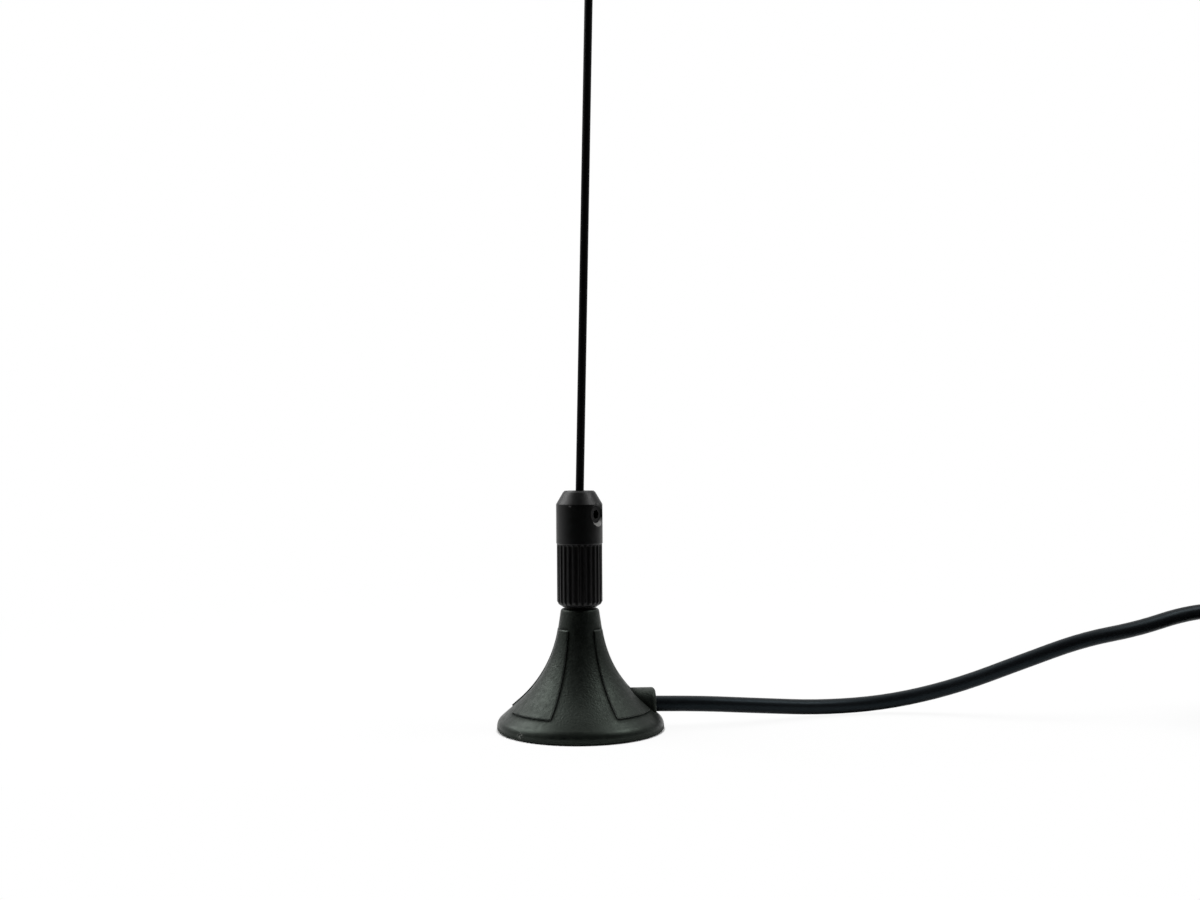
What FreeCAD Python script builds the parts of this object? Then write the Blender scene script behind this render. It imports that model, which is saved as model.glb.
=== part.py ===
import FreeCAD, Part
import math
import os

from FreeCAD import Vector

# Magnetic-foot VHF whip antenna for a car roof, in millimetres.
# The origin is the middle of the foot where it meets the roof. +Z is up the antenna,
# +X is the side that the cable leaves and -Y is the front.

# Foot: a flared moulding that is round in plan
FOOT_D = 30.0
RIM_LIFT = 0.05
RIM_ROUND = 0.4
RIM_BLEND = 2.0
CONE_TOP_D = 22.4
CONE_TOP_Z = 4.9
NECK_FOOT_D = 7.92
NECK_H = 3.7
NECK_TOP_D = 6.8
NECK_TOP_Z = 21.7
NECK_ROUND = 0.6
WALL = 1.4

# Raised panels on the flare: one in each quarter, with gaps that widen downwards
PANEL_RAISE = 0.26
PANEL_DROP = 0.05
PANEL_FOOT_D = 25.2
PANEL_BITE = 0.5
PANEL_OVERRUN = 0.25
FRONT_GAP_TOP = 4.6
FRONT_GAP_FOOT = 11.6
SIDE_GAP_TOP = 2.9
SIDE_GAP_FOOT = 6.6

# Cable boss on the side of the foot
BOSS_W = 5.8
BOSS_INSET = 1.5
BOSS_ROUND = 0.7

# Magnet, plate and pad in the underside
PAD_T = 0.6
PAD_MARGIN = 1.9
MAGNET_T = 1.5
RIM_WALL = 3.0
MAGNET_EDGE = 0.2
YOKE_T = 0.4
POCKET_FIT = 0.05

# Stud in the neck
STUD_BODY_D = 4.4
STUD_BODY_L = 9.2
STUD_GROOVE_D = 3.6
STUD_GROOVE_W = 1.6
STUD_FLANGE_D = 5.0
STUD_FLANGE_T = 0.3
STUD_THREAD_D = 4.0
STUD_THREAD_L = 7.0
STUD_TAIL_D = 1.6
STUD_TAIL_L = 2.5
THREAD_FIT = 0.05

# Collar
COLLAR_D = 8.36
COLLAR_H = 20.8
COLLAR_TOP_D = 5.9
COLLAR_TOP_H = 2.4
COLLAR_TOP_EDGE = 0.3
COLLAR_FOOT_D = 6.2
COLLAR_FOOT_H = 1.0
COLLAR_CURVE_D = 7.6
COLLAR_CURVE_H = 0.45
COLLAR_STEP = 0.1
SOCKET_SPARE = 0.5
COLLAR_WEB = 1.5
BORE_EDGE = 0.2
FLUTE_H = 11.3
FLUTE_COUNT = 25
FLUTE_R = 0.42
FLUTE_DEPTH = 0.26

# Grub screw, placed down from the collar's top and round from the front
GRUB_D = 3.0
GRUB_L = 2.8
GRUB_DROP = 4.2
GRUB_ANGLE = 52.0
GRUB_MOUTH_D = 4.3
GRUB_SOCKET_AF = 1.5
GRUB_SOCKET_DEPTH = 1.2
GRUB_POINT_D = 1.6
GRUB_POINT_L = 0.4
GRUB_TIP_GAP = 0.04

# Whip
WHIP_D = 1.5
WHIP_L = 479.0
WHIP_LEAN = 1.4
WHIP_FIT = 0.25
WHIP_END_GAP = 0.1
WHIP_TIP_ROUND = 0.5

# Cable and its end inside the foot
CABLE_D = 2.8
CABLE_LIFT = 0.4
CABLE_FIT = 0.1
BEND_SHARE = 0.45
JACKET_END = 4.2
CORE_D = 1.5
CORE_L = 2.0
WIRE_D = 0.5
WIRE_BEND = 0.9
WIRE_GAP = 0.15
BRAID_D = 0.6
BRAID_L = 5.0
BRAID_BEND = 2.4
BRAID_SLOPE = 2.0
BRAID_LIFT = 0.1
BRAID_ANGLE = 40.0
CLAMP_W = 2.2
CLAMP_T = 0.4
CLAMP_FOOT = 1.4
CLAMP_SETBACK = 0.8
SOLDER_D = 1.8
SOLDER_TOP_D = 0.9
SOLDER_H = 0.8

# Coil of spare cable, its ties and its place beside the foot
COIL_CENTRE = (139.1, -10.6)
COIL_MID_D = 31.0
COIL_COLUMNS = 4
COIL_LAYERS = 6
COIL_BEVEL = 0.9
COIL_HEADING = 13.8
COIL_GAP = 0.05
COIL_EASE = 0.1
TIE_T = 0.8
TIE_W = 5.0
TIE_ANGLES = (-10.0, 170.0)

# Plug on the far end, measured along its axis from the boot's cable end
NUT_AF = 8.0
NUT_START = 14.2
NUT_L = 8.2
NUT_ROUND_D = 7.4
NUT_ROUND_L = 1.4
NUT_CHAMFER = 0.5
NUT_THREAD_D = 6.4
NUT_WALL = 2.4
JACKET_IN_PLUG = 5.0
BOOT_L = 11.0
BOOT_T = 0.4
FERRULE_START = 3.6
FERRULE_L = 8.4
FERRULE_T = 0.5
BODY_STEM_FIT = 0.05
BODY_FLANGE_D = 5.4
BODY_FLANGE_L = 2.0
BODY_TUBE_D = 4.4
BODY_FRONT = 20.0
BODY_TUBE_WALL = 0.5
BODY_NECK_FIT = 0.1
RING_START = 15.2
RING_W = 0.6
RING_DEPTH = 0.35
RING_RISE = 0.5
RING_FIT = 0.05
GASKET_T = 0.7
PIN_D = 0.92
PIN_END = 22.0
PIN_TIP_L = 0.5
PIN_TIP_D = 0.4
INSULATOR_SETBACK = 0.5

# Places that follow from those sizes
foot_r = FOOT_D / 2
magnet_r = foot_r - RIM_WALL
pad_r = foot_r - PAD_MARGIN
magnet_top = PAD_T + MAGNET_T
pocket_top = magnet_top + YOKE_T
cable_r = CABLE_D / 2
cable_z = pocket_top + CABLE_LIFT + cable_r
cone_top = (CONE_TOP_D / 2, CONE_TOP_Z)
neck_foot = (NECK_FOOT_D / 2, NECK_TOP_Z - NECK_H)
neck_top = (NECK_TOP_D / 2, NECK_TOP_Z)
boss_end = foot_r - BOSS_INSET
stud_foot_z = NECK_TOP_Z - STUD_BODY_L
collar_z = NECK_TOP_Z + STUD_FLANGE_T
collar_top_z = collar_z + COLLAR_H
collar_r = COLLAR_D / 2
bore_floor_z = collar_z + STUD_THREAD_L + SOCKET_SPARE + COLLAR_WEB
whip_r = WHIP_D / 2
grub_z = collar_top_z - GRUB_DROP
grub_tip = whip_r + GRUB_TIP_GAP
coil_r = COIL_MID_D / 2
coil_half_w = COIL_COLUMNS * CABLE_D / 2
coil_inner_r = coil_r - coil_half_w - COIL_EASE
coil_outer_r = coil_r + coil_half_w + COIL_EASE
turn_r = coil_r + coil_half_w - cable_r
bottom_turn_z = TIE_T + COIL_EASE + cable_r
top_turn_z = bottom_turn_z + COIL_LAYERS * CABLE_D
plug_z = NUT_AF / 2

Z_AXIS = Vector(0, 0, 1)
SAME_PLACE = 1e-4


def in_plane(point):
    """A (radius, height) pair as a point of the XZ plane."""
    return Vector(point[0], 0, point[1])


def line(start, end):
    return Part.LineSegment(in_plane(start), in_plane(end)).toShape()


def arc(start, middle, end):
    return Part.Arc(in_plane(start), in_plane(middle), in_plane(end)).toShape()


def turned(edges):
    """The solid that a closed profile of edges sweeps round the Z axis."""
    return Part.Face(Part.Wire(edges)).revolve(Vector(0, 0, 0), Z_AXIS, 360)


def turned_outline(points):
    """A turned solid with a straight-sided profile."""
    return turned([line(a, b) for a, b in zip(points, points[1:] + points[:1])])


def disc(radius, low, high):
    return Part.makeCylinder(radius, high - low, Vector(0, 0, low))


def circles_at(shape, radius, height):
    """The round edges of a turned solid that have this radius and height."""
    found = []
    for edge in shape.Edges:
        curve = edge.Curve
        if not isinstance(curve, Part.Circle):
            continue
        if abs(curve.Radius - radius) < SAME_PLACE and abs(curve.Center.z - height) < SAME_PLACE:
            found.append(edge)
    return found


def tangent_arc(start, heading, end):
    """The arc from start, leaving along heading, to end: its centre, radius, middle and last heading."""
    across = (end[0] - start[0], end[1] - start[1])
    chord = math.hypot(*across)
    side = (-heading[1], heading[0])
    reach = chord ** 2 / (2 * (side[0] * across[0] + side[1] * across[1]))
    centre = (start[0] + reach * side[0], start[1] + reach * side[1])
    half_way = ((start[0] + end[0]) / 2 - centre[0], (start[1] + end[1]) / 2 - centre[1])
    grow = abs(reach) / math.hypot(*half_way)
    middle = (centre[0] + grow * half_way[0], centre[1] + grow * half_way[1])
    along = (across[0] / chord, across[1] / chord)
    twice = 2 * (heading[0] * along[0] + heading[1] * along[1])
    last = (twice * along[0] - heading[0], twice * along[1] - heading[1])
    return centre, abs(reach), middle, last


def unit(start, end):
    length = math.hypot(end[0] - start[0], end[1] - start[1])
    return ((end[0] - start[0]) / length, (end[1] - start[1]) / length)


def cable_path(points):
    """Straight runs joined by arcs, each as large as its two runs allow, and the arcs' radii."""
    corners = [Vector(*p) for p in points]
    edges = []
    radii = []
    here = corners[0]
    for before, corner, after in zip(corners, corners[1:], corners[2:]):
        back = (before - corner).normalize()
        ahead = (after - corner).normalize()
        half_turn = (math.pi - back.getAngle(ahead)) / 2
        cut = BEND_SHARE * min((before - corner).Length, (after - corner).Length)
        radius = cut / math.tan(half_turn)
        into = corner + back * cut
        out = corner + ahead * cut
        inward = (back + ahead).normalize()
        middle = corner + inward * (math.hypot(radius, cut) - radius)
        edges.append(Part.LineSegment(here, into).toShape())
        edges.append(Part.Arc(into, middle, out).toShape())
        radii.append(radius)
        here = out
    edges.append(Part.LineSegment(here, corners[-1]).toShape())
    return Part.Wire(edges), radii


def tube(points, radius):
    """A round bar along the path through points, its path and the path's radii."""
    path, radii = cable_path(points)
    along = Vector(*points[1]) - Vector(*points[0])
    ring = Part.Wire(Part.makeCircle(radius, Vector(*points[0]), along))
    return path.makePipeShell([ring], True, False), path, radii


# The flare's profile: a straight neck, a hollow arc and a cone that ends in a rounded rim
flare_centre, flare_r, flare_middle, cone_heading = tangent_arc(
    neck_foot, unit(neck_top, neck_foot), cone_top)
cone_angle = math.atan2(cone_top[1] - flare_centre[1], cone_top[0] - flare_centre[0]) + 2 * math.pi
rim_run = (foot_r - cone_top[0]) / cone_heading[0]
rim_trim = RIM_BLEND * math.tan(math.atan2(cone_heading[0], -cone_heading[1]) / 2)


def on_flare(offset, angle):
    """A point beside the flare: offset is outwards, angle is about the flare's centre."""
    reach = flare_r - offset
    return (flare_centre[0] + reach * math.cos(angle), flare_centre[1] + reach * math.sin(angle))


def angle_at_height(offset, height):
    return math.pi + math.asin((flare_centre[1] - height) / (flare_r - offset))


def on_cone(offset, run):
    """A point beside the cone: offset is outwards, run is the way down it."""
    outward = (-cone_heading[1], cone_heading[0])
    return (
        cone_top[0] + run * cone_heading[0] + offset * outward[0],
        cone_top[1] + run * cone_heading[1] + offset * outward[1])


def band_on_flare(outer, inner, high, run):
    """Edges of the band between two offsets, from an angle on the flare to a way down the cone."""
    middle = (high + cone_angle) / 2
    return [
        arc(on_flare(outer, high), on_flare(outer, middle), on_flare(outer, cone_angle)),
        line(on_flare(outer, cone_angle), on_cone(outer, run)),
        line(on_cone(outer, run), on_cone(inner, run)),
        line(on_cone(inner, run), on_flare(inner, cone_angle)),
        arc(on_flare(inner, cone_angle), on_flare(inner, middle), on_flare(inner, high)),
        line(on_flare(inner, high), on_flare(outer, high)),
    ]


def towards(centre, point, reach):
    """The place that lies reach from centre, on the way to point."""
    along = unit(centre, point)
    return (centre[0] + reach * along[0], centre[1] + reach * along[1])


def arc_round(centre, start, end):
    """The shorter arc about centre, from start to end."""
    radius = math.hypot(start[0] - centre[0], start[1] - centre[1])
    half_way = ((start[0] + end[0]) / 2, (start[1] + end[1]) / 2)
    return arc(start, towards(centre, half_way, radius), end)


def foot_body():
    """The flared body as one turned solid, before panels and hollows."""
    blend_start = on_cone(0, rim_run - rim_trim)
    blend_end = (foot_r, on_cone(0, rim_run)[1] - rim_trim)
    blend_centre = (foot_r - RIM_BLEND, blend_end[1])
    edge_centre = (foot_r - RIM_ROUND, RIM_LIFT + RIM_ROUND)
    edge_start = (foot_r, edge_centre[1])
    edge_end = (edge_centre[0], RIM_LIFT)
    body = turned([
        line((0, RIM_LIFT), edge_end),
        arc_round(edge_centre, edge_end, edge_start),
        line(edge_start, blend_end),
        arc_round(blend_centre, blend_end, blend_start),
        line(blend_start, cone_top),
        arc(cone_top, flare_middle, neck_foot),
        line(neck_foot, neck_top),
        line(neck_top, (0, NECK_TOP_Z)),
        line((0, NECK_TOP_Z), (0, RIM_LIFT)),
    ])
    return body.makeFillet(NECK_ROUND, circles_at(body, *neck_top))


def gap_edge(top_gap, top_r, foot_gap, low_r):
    """Line half a gap from the X axis, from one radius to another and a little past both."""
    near = Vector(math.sqrt(top_r ** 2 - (top_gap / 2) ** 2), top_gap / 2, 0)
    far = Vector(math.sqrt(low_r ** 2 - (foot_gap / 2) ** 2), foot_gap / 2, 0)
    spare = (far - near) * PANEL_OVERRUN
    return near - spare, far + spare


def panel_plan(top_r, low_r):
    """Plan of the panel in the quarter with +X and +Y: its gaps lie along the two axes."""
    front = [Vector(p.y, p.x, 0) for p in gap_edge(FRONT_GAP_TOP, top_r, FRONT_GAP_FOOT, low_r)]
    side = gap_edge(SIDE_GAP_TOP, top_r, SIDE_GAP_FOOT, low_r)
    return [front[0], front[1], Vector(FOOT_D, FOOT_D, 0), side[1], side[0]]


def raised_panels():
    """Four thin raised fields on the flare, one in each quarter."""
    panel_foot_r = PANEL_FOOT_D / 2
    high = angle_at_height(0, neck_foot[1] - PANEL_DROP)
    run = (panel_foot_r - cone_top[0]) / cone_heading[0]
    ring = turned(band_on_flare(PANEL_RAISE, -PANEL_BITE, high, run))
    plan = panel_plan(on_flare(0, high)[0], panel_foot_r)
    panels = []
    for side in (1, -1):
        for depth in (1, -1):
            corners = [Vector(side * p.x, depth * p.y, 0) for p in plan]
            face = Part.Face(Part.makePolygon(corners + corners[:1]))
            panels.append(ring.common(face.extrude(Vector(0, 0, NECK_TOP_Z))))
    return panels


def cable_boss():
    """Round-topped tunnel that the cable leaves through, with a rounded outer end."""
    half = BOSS_W / 2
    crown = Part.makeCylinder(half, boss_end, Vector(0, 0, cable_z), Vector(1, 0, 0))
    floor = RIM_LIFT + RIM_BLEND
    block = Part.makeBox(boss_end, BOSS_W, cable_z - floor, Vector(0, -half, floor))
    boss = crown.fuse(block).removeSplitter()
    end_edges = []
    for edge in boss.Edges:
        box = edge.BoundBox
        if box.XMin > boss_end - SAME_PLACE and box.ZMax > floor + SAME_PLACE:
            end_edges.append(edge)
    return boss.makeFillet(BOSS_ROUND, end_edges)


def foot_hollow():
    """What is taken out of the foot: pad recess, magnet pocket, wiring space and cable bore."""
    high = angle_at_height(-WALL, stud_foot_z)
    low = angle_at_height(-WALL, pocket_top)
    ceiling = on_flare(-WALL, high)
    ledge = on_flare(-WALL, low)
    wiring = turned([
        line((0, pocket_top), ledge),
        arc(ledge, on_flare(-WALL, (high + low) / 2), ceiling),
        line(ceiling, (0, stud_foot_z)),
        line((0, stud_foot_z), (0, pocket_top)),
    ])
    recess = disc(pad_r + POCKET_FIT, RIM_LIFT, PAD_T)
    pocket = disc(magnet_r + POCKET_FIT, PAD_T, pocket_top)
    bore = Part.makeCylinder(cable_r + CABLE_FIT, foot_r, Vector(0, 0, cable_z), Vector(1, 0, 0))
    return [recess, pocket, wiring, bore]


def base_housing():
    body = foot_body().fuse(raised_panels() + [cable_boss()])
    return body.cut(foot_hollow() + [threaded_stud()]).removeSplitter()


def threaded_stud():
    """Turned insert: solder tail, grooved body held by the moulding, flange and thread."""
    body_r = STUD_BODY_D / 2
    groove_z = stud_foot_z + (STUD_BODY_L - STUD_GROOVE_W) / 2
    return turned_outline([
        (0, stud_foot_z - STUD_TAIL_L),
        (STUD_TAIL_D / 2, stud_foot_z - STUD_TAIL_L),
        (STUD_TAIL_D / 2, stud_foot_z),
        (body_r, stud_foot_z),
        (body_r, groove_z),
        (STUD_GROOVE_D / 2, groove_z),
        (STUD_GROOVE_D / 2, groove_z + STUD_GROOVE_W),
        (body_r, groove_z + STUD_GROOVE_W),
        (body_r, NECK_TOP_Z),
        (STUD_FLANGE_D / 2, NECK_TOP_Z),
        (STUD_FLANGE_D / 2, collar_z),
        (STUD_THREAD_D / 2, collar_z),
        (STUD_THREAD_D / 2, collar_z + STUD_THREAD_L),
        (0, collar_z + STUD_THREAD_L),
    ])


def collar_flutes():
    """Round-bottomed cutters for the grip flutes, with domed upper ends."""
    fluted_r = collar_r - COLLAR_STEP
    reach = fluted_r + FLUTE_R - FLUTE_DEPTH
    cutters = []
    for index in range(FLUTE_COUNT):
        angle = 2 * math.pi * index / FLUTE_COUNT
        foot = Vector(reach * math.cos(angle), reach * math.sin(angle), collar_z)
        top = foot + Vector(0, 0, FLUTE_H - FLUTE_R)
        rod = Part.makeCylinder(FLUTE_R, FLUTE_H - FLUTE_R, foot)
        cutters.append(rod.fuse(Part.makeSphere(FLUTE_R, top)))
    return cutters


def grub_axis():
    """Unit vector from the collar's axis out through the grub screw."""
    turn = math.radians(GRUB_ANGLE)
    return Vector(math.sin(turn), -math.cos(turn), 0)


def grub_hole():
    """Cross hole for the grub screw and the countersink at its mouth."""
    middle = Vector(0, 0, grub_z)
    axis = grub_axis()
    drill = Part.makeCylinder(GRUB_D / 2 + THREAD_FIT, collar_r, middle, axis)
    apex = middle + axis * (collar_r - GRUB_MOUTH_D / 2)
    return [drill, Part.makeCone(0, GRUB_MOUTH_D, GRUB_MOUTH_D, apex, axis)]


def whip_collar():
    """Turned collar: tapered top, plain band, fluted grip, whip bore, stud socket and cross hole."""
    fluted_r = collar_r - COLLAR_STEP
    step_z = collar_z + FLUTE_H
    body = turned_outline([
        (0, collar_z),
        (COLLAR_FOOT_D / 2, collar_z),
        (COLLAR_CURVE_D / 2, collar_z + COLLAR_CURVE_H),
        (fluted_r, collar_z + COLLAR_FOOT_H),
        (fluted_r, step_z),
        (collar_r, step_z + COLLAR_STEP),
        (collar_r, collar_top_z - COLLAR_TOP_H),
        (COLLAR_TOP_D / 2, collar_top_z - COLLAR_TOP_EDGE),
        (COLLAR_TOP_D / 2 - COLLAR_TOP_EDGE, collar_top_z),
        (0, collar_top_z),
    ])
    bore_r = whip_r + WHIP_FIT
    bore = turned_outline([
        (0, bore_floor_z),
        (bore_r, bore_floor_z),
        (bore_r, collar_top_z - BORE_EDGE),
        (bore_r + BORE_EDGE, collar_top_z),
        (0, collar_top_z),
    ])
    socket = disc(STUD_THREAD_D / 2 + THREAD_FIT, collar_z, collar_z + STUD_THREAD_L + SOCKET_SPARE)
    return body.cut([bore, socket] + grub_hole() + collar_flutes())


def hex_bar(across_flats, start, end):
    """Hexagonal bar along Z, with two flats square to Y."""
    corner_r = across_flats / math.sqrt(3)
    corners = []
    for index in range(7):
        angle = math.radians(60 * index)
        corners.append(Vector(corner_r * math.cos(angle), corner_r * math.sin(angle), start))
    return Part.Face(Part.makePolygon(corners)).extrude(Vector(0, 0, end - start))


def grub_screw():
    """Headless screw with a hex socket outwards and a cone point on the whip."""
    screw = turned_outline([
        (0, grub_tip),
        (GRUB_POINT_D / 2, grub_tip),
        (GRUB_D / 2, grub_tip + GRUB_POINT_L),
        (GRUB_D / 2, grub_tip + GRUB_L),
        (0, grub_tip + GRUB_L),
    ])
    face = grub_tip + GRUB_L
    screw = screw.cut(hex_bar(GRUB_SOCKET_AF, face - GRUB_SOCKET_DEPTH, face))
    screw.Placement = FreeCAD.Placement(
        Vector(0, 0, grub_z), FreeCAD.Rotation(Z_AXIS, grub_axis()))
    return screw


def whip_rod():
    """Straight rod that leans towards +X and crosses the collar's axis at the grub screw."""
    lean = math.radians(WHIP_LEAN)
    along = Vector(math.sin(lean), 0, math.cos(lean))
    foot_reach = (grub_z - bore_floor_z - WHIP_END_GAP) / math.cos(lean)
    foot = Vector(0, 0, grub_z) - along * foot_reach
    rod = Part.makeCylinder(whip_r, WHIP_L)
    rod = rod.makeFillet(WHIP_TIP_ROUND, circles_at(rod, whip_r, WHIP_L))
    rod.Placement = FreeCAD.Placement(foot, FreeCAD.Rotation(Z_AXIS, along))
    return rod


def magnet():
    blank = disc(magnet_r, PAD_T, magnet_top)
    return blank.makeChamfer(MAGNET_EDGE, circles_at(blank, magnet_r, PAD_T))


def yoke_plate():
    return disc(magnet_r, magnet_top, pocket_top)


def foot_pad():
    return disc(pad_r, 0, PAD_T)


def cable_clamp():
    """Strap bent over the cable, with two feet on the plate."""
    start = JACKET_END + CLAMP_SETBACK
    outer_r = cable_r + CLAMP_T
    legs = Part.makeBox(CLAMP_W, 2 * outer_r, cable_z - pocket_top, Vector(start, -outer_r, pocket_top))
    crown = Part.makeCylinder(outer_r, CLAMP_W, Vector(start, 0, cable_z), Vector(1, 0, 0))
    feet = Part.makeBox(
        CLAMP_W, 2 * (outer_r + CLAMP_FOOT), CLAMP_T, Vector(start, -outer_r - CLAMP_FOOT, pocket_top))
    under = Part.makeBox(CLAMP_W, CABLE_D, cable_z - pocket_top, Vector(start, -cable_r, pocket_top))
    inside = Part.makeCylinder(cable_r, CLAMP_W, Vector(start, 0, cable_z), Vector(1, 0, 0))
    return crown.fuse([legs, feet]).cut([inside, under]).removeSplitter()


def bent_wire(points, bend, diameter):
    """Round wire through three points with one bend of the given radius."""
    first, corner, last = [Vector(*p) for p in points]
    back = (first - corner).normalize()
    ahead = (last - corner).normalize()
    half_turn = (math.pi - back.getAngle(ahead)) / 2
    cut = bend * math.tan(half_turn)
    into = corner + back * cut
    out = corner + ahead * cut
    middle = corner + (back + ahead).normalize() * (math.hypot(bend, cut) - bend)
    path = Part.Wire([
        Part.LineSegment(first, into).toShape(),
        Part.Arc(into, middle, out).toShape(),
        Part.LineSegment(out, last).toShape(),
    ])
    ring = Part.Wire(Part.makeCircle(diameter / 2, first, corner - first))
    return path.makePipeShell([ring], True, False)


wire_x = (STUD_TAIL_D + WIRE_D) / 2 + WIRE_GAP
braid_offset = (CORE_D + BRAID_D) / 2
braid_turn = math.radians(BRAID_ANGLE)
braid_y = -braid_offset * math.cos(braid_turn)
braid_setback = BRAID_D / 2 * math.sin(math.atan(1 / BRAID_SLOPE))
braid_start = (JACKET_END - braid_setback, braid_y, cable_z - braid_offset * math.sin(braid_turn))
braid_end = (JACKET_END - BRAID_L, braid_y, pocket_top + BRAID_LIFT + BRAID_D / 2)


def cable_core():
    """Dielectric of the cable's near end, stripped back inside the foot."""
    start = Vector(JACKET_END - CORE_L, 0, cable_z)
    return Part.makeCylinder(CORE_D / 2, CORE_L, start, Vector(1, 0, 0))


def centre_wire():
    """From the cable's core, up beside the stud's solder tail."""
    top = stud_foot_z
    core_end = JACKET_END - CORE_L
    return bent_wire(
        [(core_end, 0, cable_z), (wire_x, 0, cable_z), (wire_x, 0, top)], WIRE_BEND, WIRE_D)


def braid_tail():
    """Gathered braid from beside the core, down to its solder on the plate."""
    drop = braid_start[2] - braid_end[2]
    corner = (braid_start[0] - BRAID_SLOPE * drop, braid_y, braid_end[2])
    return bent_wire([braid_start, corner, braid_end], BRAID_BEND, BRAID_D)


def solder_joints(wire, braid):
    """Solder round the wire on the stud's tail, and a flat dome over the braid's end."""
    low = stud_foot_z - STUD_TAIL_L
    collar = disc(wire_x + WIRE_D, low, low + SOLDER_H)
    place = Vector(braid_end[0], braid_y, pocket_top)
    dome = Part.makeCone(SOLDER_D / 2, SOLDER_TOP_D / 2, SOLDER_H, place)
    return Part.Compound([collar.cut([threaded_stud(), wire]), dome.cut(braid)])


# Route of the cable from the foot to the coil: straight out of the boss, along the floor and up on
# to the coil's highest turn
heading = Vector(math.cos(math.radians(COIL_HEADING)), math.sin(math.radians(COIL_HEADING)), 0)
coil_middle = Vector(COIL_CENTRE[0], COIL_CENTRE[1], 0)
stub_length = math.sqrt((coil_outer_r + cable_r + COIL_GAP) ** 2 - turn_r ** 2)
top_turn = coil_middle + Vector(-heading.y, heading.x, 0) * turn_r + Z_AXIS * top_turn_z
lead_end = top_turn - heading * stub_length
LEAD_ROUTE = [
    (JACKET_END, 0.0, cable_z),
    (18.4, 0.0, cable_z),
    (33.0, 3.2, 2.9),
    (46.0, 8.0, cable_r),
    (59.0, 9.4, 1.9),
    (71.0, 6.6, 5.1),
    (82.5, 2.4, 10.3),
    (93.0, 0.2, 14.5),
    tuple(lead_end + Vector(-19.6, -4.9, -2.9)),
    tuple(lead_end + Vector(-9.6, -2.4, -0.5)),
    tuple(lead_end),
]

# Route of the cable's last stretch, from the coil's lowest outer turn round to the plug
bottom_turn = coil_middle + Vector(0, turn_r, bottom_turn_z)
tail_start = bottom_turn + Vector(stub_length, 0, 0)
TAIL_ROUTE = [
    tuple(tail_start),
    tuple(tail_start + Vector(8.5, 0, 0)),
    (166.3, 4.8, 3.1),
    (171.0, -3.4, plug_z),
    (171.0, -12.7, plug_z),
]
plug_origin = Vector(*TAIL_ROUTE[-1]) + Vector(0, JACKET_IN_PLUG, 0)


def coil_section():
    """Outline of the stacked turns: one more turn lies on top of the outer column."""
    crest_z = top_turn_z + cable_r + COIL_EASE
    step_z = crest_z - CABLE_D
    step_r = turn_r - cable_r - COIL_EASE
    return [
        (coil_inner_r, TIE_T),
        (coil_outer_r, TIE_T),
        (coil_outer_r, crest_z),
        (step_r, crest_z),
        (step_r, step_z),
        (coil_inner_r, step_z),
    ]


def outer_corners(section):
    """The coil section's corners without the one in its step."""
    return section[:4] + section[5:]


def cable_coil():
    """Outer shape of the coil, with the two straight stretches by which the cable comes and goes."""
    section = coil_section()
    ring = turned_outline(section)
    edges = [edge for corner in outer_corners(section) for edge in circles_at(ring, *corner)]
    ring = ring.makeChamfer(COIL_BEVEL, edges)
    ring.translate(coil_middle)
    arriving = Part.makeCylinder(cable_r, stub_length, lead_end, heading)
    leaving = Part.makeCylinder(cable_r, stub_length, bottom_turn, Vector(1, 0, 0))
    return ring.fuse([arriving, leaving]).removeSplitter()


def coil_ties():
    """Two bands drawn tight round the stack of turns."""
    hull = [in_plane(corner) for corner in outer_corners(coil_section())]
    inside = Part.makePolygon(hull + hull[:1])
    outside = inside.makeOffset2D(TIE_T)
    band = Part.Face(outside).cut(Part.Face(inside)).Faces[0]
    spread = math.degrees(TIE_W / coil_r)
    ties = []
    for angle in TIE_ANGLES:
        tie = band.revolve(Vector(0, 0, 0), Z_AXIS, spread)
        tie.rotate(Vector(0, 0, 0), Z_AXIS, angle - spread / 2)
        tie.translate(coil_middle)
        ties.append(tie)
    return Part.Compound(ties)


def on_plug(shape):
    """Lay a piece that was made along Z on the plug's axis, which runs along -Y."""
    shape.Placement = FreeCAD.Placement(plug_origin, FreeCAD.Rotation(Vector(1, 0, 0), 90))
    return shape


ferrule_end = FERRULE_START + FERRULE_L
ferrule_r = cable_r + FERRULE_T
flange_end = ferrule_end + BODY_FLANGE_L
tube_r = BODY_TUBE_D / 2
tube_bore_r = tube_r - BODY_TUBE_WALL
stem_bore_r = CORE_D / 2 + BODY_STEM_FIT
groove_r = tube_r - RING_DEPTH
nut_end = NUT_START + NUT_L
nut_floor = NUT_START + NUT_WALL


def plug_boot():
    """Shrunk sleeve over the cable and the ferrule."""
    return turned_outline([
        (cable_r, 0),
        (cable_r + BOOT_T, 0),
        (cable_r + BOOT_T, FERRULE_START - BOOT_T),
        (ferrule_r + BOOT_T, FERRULE_START + BOOT_T),
        (ferrule_r + BOOT_T, BOOT_L),
        (ferrule_r, BOOT_L),
        (ferrule_r, FERRULE_START),
        (cable_r, FERRULE_START),
    ])


def plug_ferrule():
    return turned_outline([
        (cable_r, FERRULE_START),
        (ferrule_r, FERRULE_START),
        (ferrule_r, ferrule_end),
        (cable_r, ferrule_end),
    ])


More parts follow.
